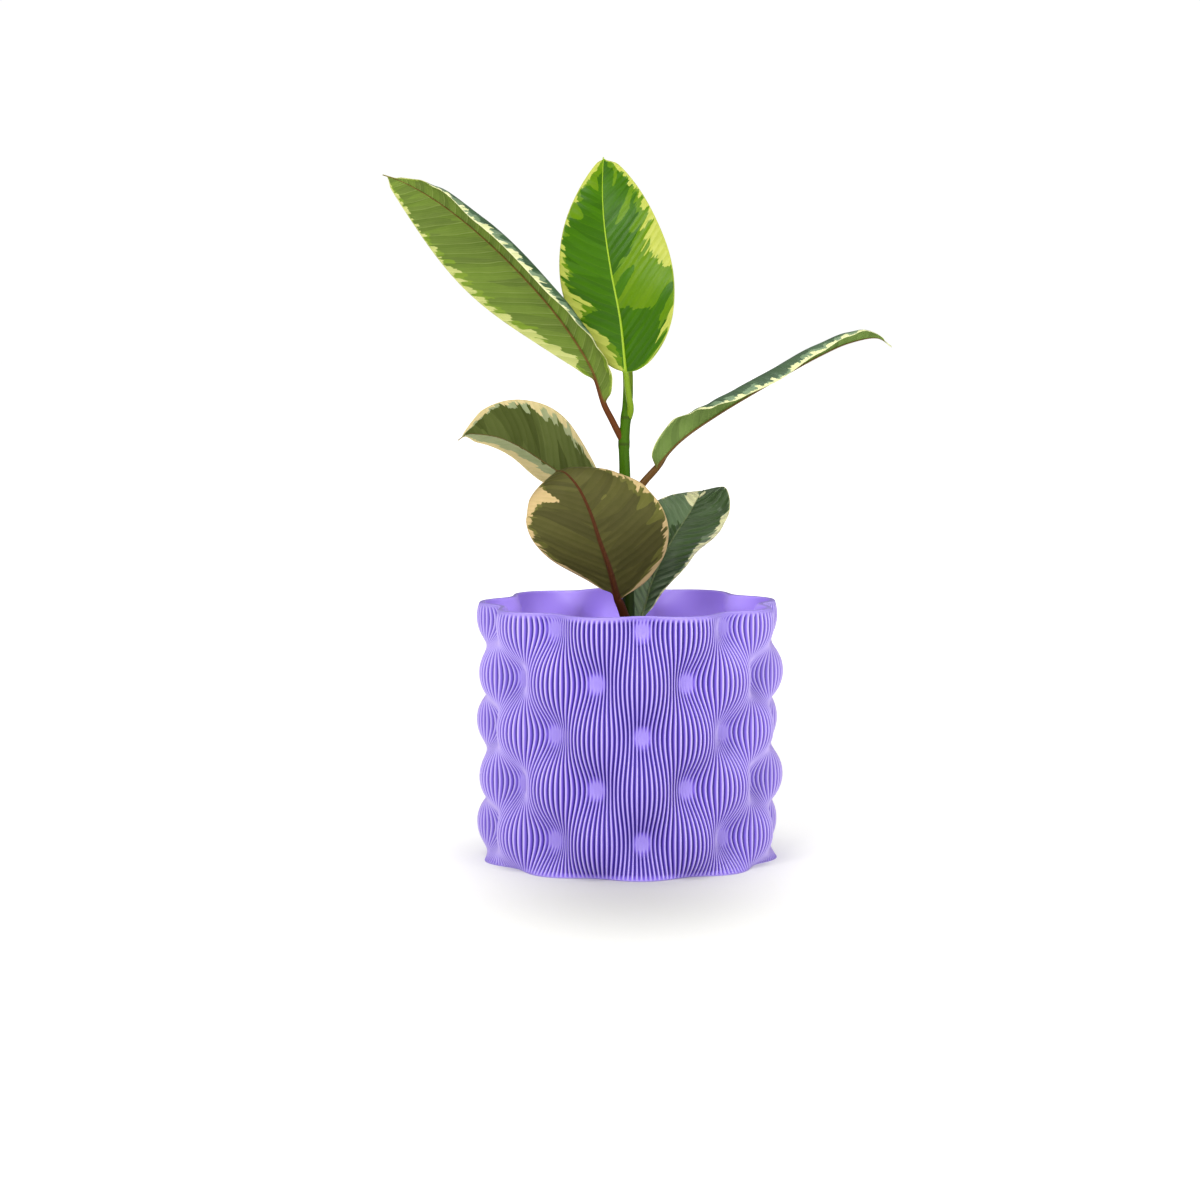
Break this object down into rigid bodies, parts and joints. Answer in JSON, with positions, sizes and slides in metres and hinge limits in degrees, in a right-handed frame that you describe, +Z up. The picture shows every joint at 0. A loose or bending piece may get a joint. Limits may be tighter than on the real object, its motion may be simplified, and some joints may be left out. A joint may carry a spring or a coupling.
{
  "type": "potted variegated rubber plant",
  "caption": "Young rubber plant with cream-edged green leaves on a slender green stem, growing in a lavender planter whose ribbed wall swells in staggered rows of soft bulges.",
  "frame": {"origin": "centre of the planter's flat foot, on the surface that it stands on", "axes": "+Z up along the stem, front of the plant towards -Y, long upper leaf towards -X"},
  "size_m": [0.2693, 0.1636, 0.3731],
  "materials": {
    "planter": "silky, finely layered printed plastic",
    "potting_mix": "rough, crumbly",
    "green_stem": "smooth, softly glossy",
    "bright_leaf": "glossy upper face, cream-yellow margin",
    "leaf": "satin, cream margin",
    "old_leaf": "satin olive underside, cream margin"
  },
  "bodies": {
    "root": {"pot": "planter", "soil": "potting_mix", "stem": "green_stem", "leaf_top": "bright_leaf", "leaf_left": "leaf", "leaf_right": "leaf", "leaf_left_low": "leaf", "leaf_front": "old_leaf", "leaf_right_low": "leaf"}
  },
  "joints": []
}
